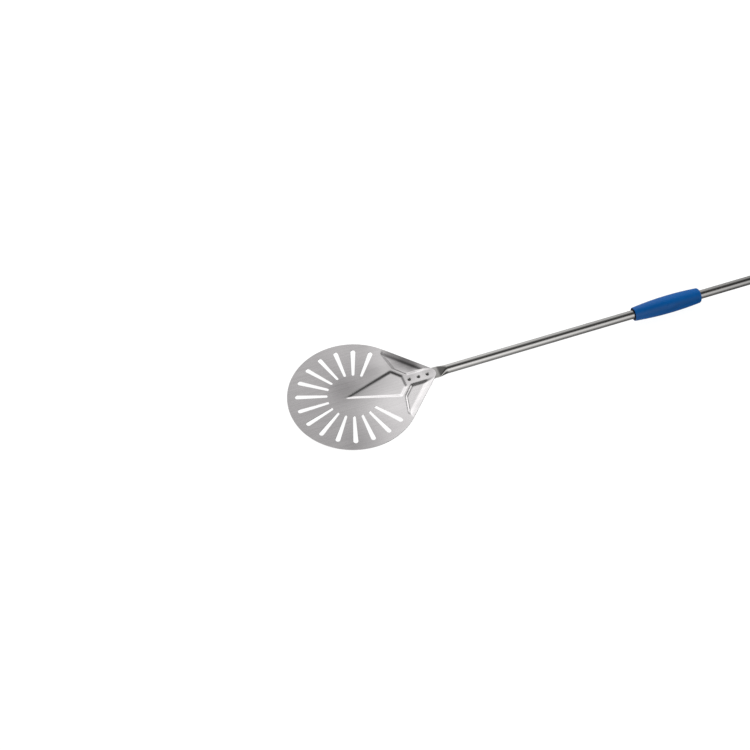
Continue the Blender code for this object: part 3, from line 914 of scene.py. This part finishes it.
def front_corner():
    """From the end face that looks at the head out to the barrel's side."""
    x = -GRIP_HEAD_SIDE + FRONT_ROUND
    radius = crowned(x) - FRONT_ROUND
    return arc(x, radius, FRONT_ROUND, math.pi, math.pi / 2, ROUND_STEPS)


def far_corner():
    """From the barrel's side round to its other end face."""
    x = GRIP_FAR_SIDE - FAR_ROUND
    radius = crowned(x) - FAR_ROUND
    return arc(x, radius, FAR_ROUND, math.pi / 2, 0.0, ROUND_STEPS * 2)


def add_parting_line(obj):
    """A hair-thin raised line along both sides, where the mould closed."""
    for vert in obj.data.vertices:
        _, y, z = vert.co
        radius = math.hypot(y, z)
        outside = radius > GRIP_BORE_RADIUS + PARTING_CLEAR
        if outside and abs(z) < radius * PARTING_SHARE:
            vert.co.y += math.copysign(PARTING_RISE, y)


def make_sliding_grip(axis_z, materials):
    front, rear = FRONT_BUSH_RADIUS + GAP, REAR_BUSH_RADIUS + GAP
    depth = BUSH_RECESS + BUSH_LENGTH + GAP
    head, far = -GRIP_HEAD_SIDE, GRIP_FAR_SIDE
    profile = front_corner()[:-1]
    profile += crowned_side(head + FRONT_ROUND, far - FAR_ROUND)
    profile += far_corner()[1:]
    profile += [(far, rear + SEAT_CHAMFER), (far - SEAT_CHAMFER, rear), (far - depth, rear)]
    profile += [(far - depth, GRIP_BORE_RADIUS), (head + depth, GRIP_BORE_RADIUS)]
    profile += [(head + depth, front), (head, front)]
    grip = lathe("grip_sleeve", profile, GRIP_STEPS, materials["slider_blue"])
    add_parting_line(grip)
    grip.data.transform(Matrix.Translation((SLIDING_CROWN_X, 0.0, axis_z)))
    stands_for(grip, "sliding_grip", "sliding_grip")


def make_bushes(axis_z, materials):
    inner, cut = TUBE_RADIUS + GAP, BUSH_CHAMFER
    material = materials["bush_black"]
    for node, outer in (("front_bush", FRONT_BUSH_RADIUS), ("rear_bush", REAR_BUSH_RADIUS)):
        low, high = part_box(node)
        length = high[0] - low[0]
        profile = [(0.0, inner + cut), (0.0, outer - cut), (cut, outer), (length - cut, outer)]
        profile += [(length, outer - cut), (length, inner + cut)]
        profile += [(length - cut, inner), (cut, inner)]
        bush = lathe(node + "_ring", profile, BUSH_STEPS, material, True, BUSH_SHARP_DEGREES)
        bush.data.transform(Matrix.Translation((low[0], 0.0, axis_z)))
        stands_for(bush, node, "grip_bushes")


def tail_cutter(name, direction, axis_z):
    """What is cut off above (+1) or below (-1) the end grip's tail."""
    flat = TAIL_HALF_HEIGHT
    scoop_z = flat + TAIL_SCOOP_RADIUS
    start, end = math.pi, 1.5 * math.pi
    outline = arc(TAIL_FLAT_X, scoop_z, TAIL_SCOOP_RADIUS, start, end, TAIL_SCOOP_STEPS)
    far_x = END_CROWN_X + END_FAR_SIDE + CUT_PAST
    outline += [(far_x, flat), (far_x, scoop_z)]
    half = CROWN_RADIUS + CUT_PAST
    bm = bmesh.new()
    face = bm.faces.new(
        [bm.verts.new((x, -half, axis_z + direction * z)) for x, z in outline]
    )
    made = bmesh.ops.extrude_face_region(bm, geom=[face], use_keep_orig=True)["geom"]
    moved = [v for v in made if isinstance(v, bmesh.types.BMVert)]
    bmesh.ops.translate(bm, verts=moved, vec=(0.0, 2 * half, 0.0))
    bmesh.ops.recalc_face_normals(bm, faces=bm.faces[:])
    return cutter_object(name, bm)


def end_grip_profile():
    """From the socket's floor out over the barrel to the tip of the rounded tail."""
    socket = TUBE_RADIUS + GAP
    socket_end = TUBE_END_X + GAP - END_CROWN_X
    mouth = -GRIP_HEAD_SIDE
    profile = [(socket_end, 0.0), (socket_end, socket)]
    profile += [(SEAT_CHAMFER + mouth, socket), (mouth, socket + SEAT_CHAMFER)]
    profile += front_corner()[:-1]
    profile += crowned_side(FRONT_ROUND + mouth, END_TAIL_START)
    for i in range(1, END_TAIL_STEPS + 1):
        angle = math.pi / 2 * i / END_TAIL_STEPS
        x = END_TAIL_START + (END_FAR_SIDE - END_TAIL_START) * math.sin(angle)
        profile.append((x, crowned(x) * math.cos(angle)))
    return profile


def end_grip_cutters(axis_z):
    low = axis_z - CROWN_RADIUS - CUT_PAST
    reach = TAIL_HALF_HEIGHT + CUT_PAST
    hole = (HANG_HOLE_X, axis_z - reach, axis_z + reach, HANG_HOLE_RADIUS, HANG_HOLE_STEPS)
    top = axis_z + SCREW_TIP_DEPTH + GAP
    seat = axis_z - SCREW_HEAD_DEPTH + GAP
    seat_radius = SCREW_HEAD_RADIUS + GAP
    return [
        tail_cutter("above", 1, axis_z),
        tail_cutter("below", -1, axis_z),
        hole_cutter("hanging", *hole),
        hole_cutter("screw_way", SCREW_X, low, top, SCREW_RADIUS + GAP),
        hole_cutter("screw_seat", SCREW_X, low, seat, seat_radius, SCREW_SEAT_STEPS),
    ]


def make_end_grip(axis_z, materials):
    profile = end_grip_profile()
    grip = lathe("end_barrel", profile, GRIP_STEPS, materials["handle_blue"], False)
    add_parting_line(grip)
    grip.data.transform(Matrix.Translation((END_CROWN_X, 0.0, axis_z)))
    cut_now(grip, end_grip_cutters(axis_z))
    grip.data.set_sharp_from_angle(angle=math.radians(SHARP_DEGREES))
    edge_bevel(grip, TAIL_EDGE_BEVEL, 3, TAIL_BEVEL_DEGREES)
    stands_for(grip, "end_grip", "peel")


def make_plug(axis_z, materials):
    """A ribbed plug in the tube's end, bored across for the screw."""
    low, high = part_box("tube_plug")
    radius = (high[2] - low[2]) / 2
    inner, cut = radius - PLUG_GROOVE, PLUG_CHAMFER
    profile = [(low[0], 0.0), (low[0], radius - cut), (low[0] + cut, radius)]
    x = low[0] + PLUG_GROOVE_START
    while x < high[0] - PLUG_GROOVE_END:
        profile += [(x, radius), (x + PLUG_GROOVE_SIDE, inner)]
        profile += [(x + PLUG_GROOVE_FLOOR, inner), (x + PLUG_GROOVE_WIDTH, radius)]
        x += PLUG_GROOVE_PITCH
    profile += [(high[0] - cut, radius), (high[0], radius - cut), (high[0], 0.0)]
    plug = lathe("plug_ribbed", profile, PLUG_STEPS, materials["plug_grey"], False)
    plug.data.transform(Matrix.Translation((0.0, 0.0, axis_z)))
    top = axis_z + SCREW_TIP_DEPTH + GAP
    bottom = axis_z - CROWN_RADIUS
    cut_now(plug, [hole_cutter("plug_way", SCREW_X, bottom, top, SCREW_RADIUS + GAP)])
    stands_for(plug, "tube_plug", "peel")


def make_screw(axis_z, materials):
    tip = axis_z + SCREW_TIP_DEPTH
    seat = axis_z - SCREW_HEAD_DEPTH
    under = seat - SCREW_HEAD_HEIGHT
    core, head, edge = SCREW_RADIUS - THREAD_DEPTH, SCREW_HEAD_RADIUS, SCREW_HEAD_EDGE
    profile = [(tip, 0.0), (tip - SCREW_POINT, core)]
    z = tip - THREAD_START
    while z > seat + THREAD_PITCH:
        profile += [(z, core), (z - THREAD_PITCH / 2, SCREW_RADIUS)]
        z -= THREAD_PITCH
    profile += [(seat, core), (seat, head - edge), (seat - edge, head)]
    profile += [(seat - SCREW_HEAD_SIDE, head)]
    profile += [(seat - depth, head * share) for depth, share in SCREW_HEAD_ROUND]
    profile += [(under, 0.0)]
    screw = lathe("screw_turned", profile, SCREW_STEPS, materials["screw_steel"], False)
    upright(screw, SCREW_X)
    low, high = under - DRIVE_DEPTH, under + DRIVE_DEPTH
    cut_now(screw, [hole_cutter("drive", SCREW_X, low, high, DRIVE_SIZE / 2, DRIVE_SIDES)])
    screw.data.set_sharp_from_angle(angle=math.radians(SHARP_DEGREES))
    stands_for(screw, "end_grip_screw", "peel")


# ---------------------------------------------------------------- surroundings


def make_floor(z):
    """A pale floor that glows softly and lets a view from below through."""
    bm = bmesh.new()
    bmesh.ops.create_grid(bm, x_segments=2, y_segments=2, size=FLOOR_SIZE)
    s = Surface("floor_paper", Roughness=0.9)
    fibres = s.noise((300.0, 300.0, 300.0), 3.0)
    dark, light = rgba(0.11, 0.11, 0.11), rgba(0.12, 0.12, 0.12)
    s.feed("Base Color", s.mix_colour(fibres, dark, light))
    s.feed("Normal", s.bump(fibres, 0.0001, 0.1))
    s.shader.inputs["Emission Color"].default_value = rgba(1.0, 1.0, 1.0)
    s.shader.inputs["Emission Strength"].default_value = FLOOR_GLOW
    s.clear_from_behind()
    floor = mesh_object("floor", bm, s.material)
    floor.location = (FLOOR_X, 0.0, z)
    floor.visible_shadow = False
    floor.visible_glossy = False
    floor.visible_diffuse = False


class Sky:
    """The studio surroundings, with helpers for light that depends on direction."""

    def __init__(self, name):
        self.world = bpy.data.worlds.new(name)
        self.world.use_nodes = True
        self.nodes = self.world.node_tree.nodes
        self.links = self.world.node_tree.links

    def direction(self):
        split = self.nodes.new("ShaderNodeSeparateXYZ")
        place = self.nodes.new("ShaderNodeTexCoord").outputs["Generated"]
        self.links.new(place, split.inputs["Vector"])
        return split.outputs["X"], split.outputs["Y"], split.outputs["Z"]

    def math(self, operation, *values):
        node = self.nodes.new("ShaderNodeMath")
        node.operation = operation
        for socket, value in zip(node.inputs, values):
            if isinstance(value, bpy.types.NodeSocket):
                self.links.new(value, socket)
            else:
                socket.default_value = value
        return node.outputs["Value"]

    def ramp(self, value, stops):
        """stops hold (place from 0 to 1, brightness)."""
        node = self.nodes.new("ShaderNodeValToRGB")
        node.color_ramp.interpolation = "EASE"
        elements = node.color_ramp.elements
        elements.remove(elements[-1])
        for i, (place, level) in enumerate(stops):
            element = elements[0] if i == 0 else elements.new(place)
            element.position = place
            element.color = rgba(level, level, level)
        self.links.new(value, node.inputs["Fac"])
        return node.outputs["Color"]

    def rise(self, value, low, high, most):
        node = self.nodes.new("ShaderNodeMapRange")
        node.interpolation_type = "SMOOTHSTEP"
        self.links.new(value, node.inputs["Value"])
        for socket, number in zip(node.inputs[1:5], (low, high, 0.0, most)):
            socket.default_value = number
        return node.outputs["Result"]


def make_world():
    """Soft studio light: bright low behind, in front and on the right, dark overhead."""
    sky = Sky("studio")
    bpy.context.scene.world = sky.world
    x, y, z = sky.direction()
    angle = sky.math("ARCTAN2", z, y)
    turn = sky.math("FRACT", sky.math("MULTIPLY_ADD", angle, 0.5 / math.pi, 1.0))
    around = sky.ramp(turn, [(degrees / 360, level) for degrees, level in STUDIO])
    product = sky.math("MULTIPLY_ADD", sky.math("MULTIPLY", x, z), 0.5, 0.5)
    lean = sky.ramp(product, [(p / 2 + 0.5, level) for p, level in STUDIO_LEAN])
    screen = sky.ramp(x, SCREEN)
    lamp = sky.math("MULTIPLY", sky.rise(x, *LAMP_X, LAMP), sky.rise(z, *LAMP_Z, 1.0))
    surround = sky.math("MULTIPLY", sky.math("MULTIPLY", around, lean), screen)
    background = sky.nodes["Background"]
    sky.links.new(sky.math("ADD", surround, lamp), background.inputs["Strength"])
    background.inputs["Color"].default_value = rgba(1.0, 1.0, 1.0)


def make_overhead_light():
    """A broad soft light above. Only surfaces that scatter light see it."""
    light = bpy.data.lights.new("overhead", "AREA")
    light.shape = "RECTANGLE"
    light.size, light.size_y = OVERHEAD_SIZE
    light.energy = OVERHEAD_POWER
    obj = bpy.data.objects.new("overhead", light)
    obj.location = OVERHEAD_PLACE
    obj.rotation_euler = OVERHEAD_TURN
    obj.visible_glossy = False
    bpy.context.scene.collection.objects.link(obj)


def make_camera():
    data = bpy.data.cameras.new("camera")
    data.lens = LENS
    data.sensor_width = SENSOR_WIDTH
    data.clip_end = CLIP_END
    camera = bpy.data.objects.new("camera", data)
    bpy.context.scene.collection.objects.link(camera)
    turned = Matrix((CAMERA_RIGHT, CAMERA_UP, CAMERA_BACK)).transposed().to_4x4()
    camera.matrix_world = Matrix.Translation(CAMERA_PLACE) @ turned
    bpy.context.scene.camera = camera


def main():
    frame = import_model()
    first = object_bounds()
    materials = make_materials()
    low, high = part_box("tube_plug")
    axis_z = (low[2] + high[2]) / 2
    make_head(frame["nodes"]["blade"], materials["head_steel"])
    make_tube(axis_z, materials["tube_steel"])
    make_rivets(materials)
    make_sliding_grip(axis_z, materials)
    make_bushes(axis_z, materials)
    make_end_grip(axis_z, materials)
    make_plug(axis_z, materials)
    make_screw(axis_z, materials)
    make_floor(first[0].z - FLOOR_CLEAR)
    make_world()
    make_overhead_light()
    make_camera()
    bpy.context.scene.view_settings.view_transform = "Standard"


main()
